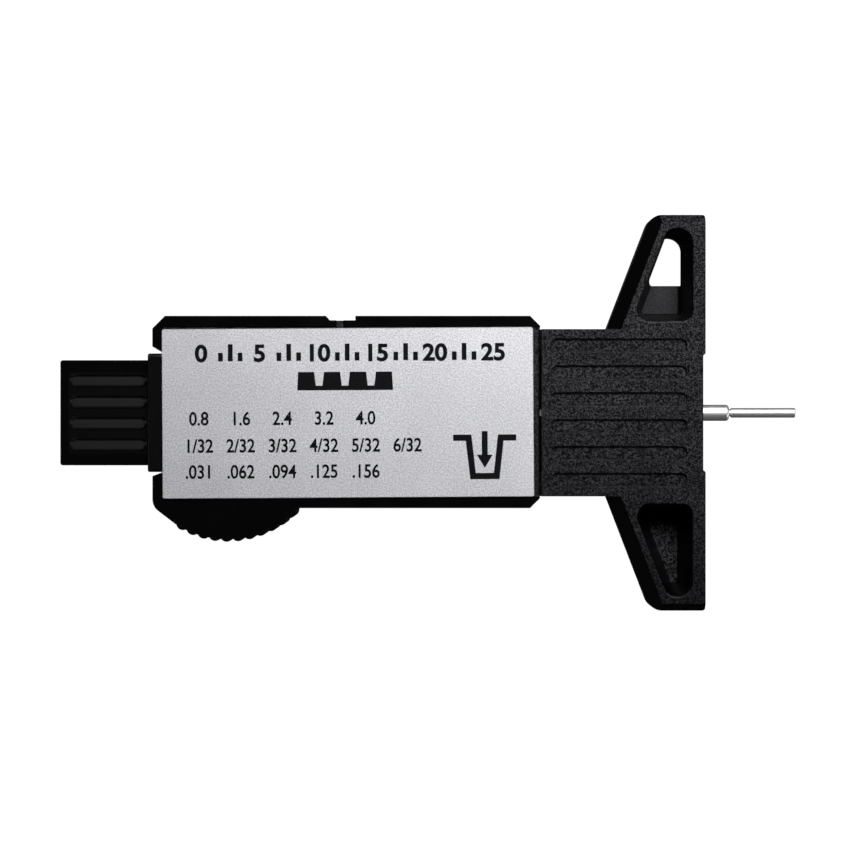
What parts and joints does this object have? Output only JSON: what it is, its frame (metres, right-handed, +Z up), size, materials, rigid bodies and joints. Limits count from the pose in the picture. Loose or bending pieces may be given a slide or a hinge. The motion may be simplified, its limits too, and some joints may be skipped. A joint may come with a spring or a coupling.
{
  "type": "tire tread depth gauge",
  "caption": "Digital tire tread depth gauge: T-shaped foot with lanyard hole, labelled rear plate, ridged thumb grip, sliding beam and steel needle.",
  "frame": {"origin": "on the surface the gauge lies on, display side down, midway between the tail's end and the needle's tip, on the needle's line", "axes": "+X along the needle, out of the foot; +Y along the foot, away from the thumb grip; +Z up, out of the label side"},
  "size_m": [0.1127, 0.0604, 0.0141],
  "materials": {
    "textured_black": "spark-textured moulding",
    "smooth_black": "smooth satin moulding",
    "matte_black": "fine matt moulding",
    "label_aluminium": "sandblasted",
    "probe_steel": "ground, satin",
    "lens_clear": "polished",
    "lcd_glass": "grey-green reflective display",
    "frame_grey": "moulded",
    "board_green": "solder-masked",
    "chip_black": "epoxy",
    "crystal_steel": "plated can",
    "contact_brass": "nickel-brass spring strip",
    "cell_steel": "nickel-plated",
    "zebra_rubber": "layered silicone",
    "scale_film": "etched copper on laminate",
    "button_blue": "satin",
    "button_orange": "satin",
    "button_grey": "satin",
    "screw_steel": "zinc-plated"
  },
  "bodies": {
    "gauge_body": {"tee_base": "textured_black", "front_housing": "smooth_black", "rear_cover": "textured_black", "label_plate": "label_aluminium", "tail_guide": "matte_black", "lcd_lens": "lens_clear", "lcd_panel": "lcd_glass", "lcd_frame": "frame_grey", "zebra_strips": "zebra_rubber", "circuit_board": "board_green", "controller_chip": "chip_black", "clock_crystal": "crystal_steel", "button_domes": "cell_steel", "battery_cell": "cell_steel", "battery_spring": "contact_brass", "battery_contact": "contact_brass", "friction_spring": "contact_brass", "housing_screws": "screw_steel"},
    "slider": {"slide_beam": "smooth_black", "scale_strip": "scale_film", "probe_holder": "probe_steel", "probe_needle": "probe_steel", "probe_pin": "probe_steel"},
    "battery_door": {"battery_cover": "smooth_black"},
    "power_key": {"power_button": "button_orange"},
    "zero_key": {"zero_button": "button_blue"},
    "unit_key": {"unit_button": "button_grey"}
  },
  "joints": [
    {"name": "probe_slide", "type": "slide", "parent": "gauge_body", "child": "slider", "axis": [1, 0, 0], "range_m": [-0.0141, 0.0113]},
    {"name": "battery_cover_slide", "type": "slide", "parent": "gauge_body", "child": "battery_door", "axis": [-1, 0, 0], "range_m": [0, 0.028]},
    {"name": "power_button_press", "type": "slide", "parent": "gauge_body", "child": "power_key", "axis": [0, 0, 1], "range_m": [0, 0.0004], "stiffness_N_per_m": 500},
    {"name": "zero_button_press", "type": "slide", "parent": "gauge_body", "child": "zero_key", "axis": [0, 0, 1], "range_m": [0, 0.0004], "stiffness_N_per_m": 500},
    {"name": "unit_button_press", "type": "slide", "parent": "gauge_body", "child": "unit_key", "axis": [0, 0, 1], "range_m": [0, 0.0004], "stiffness_N_per_m": 500}
  ]
}
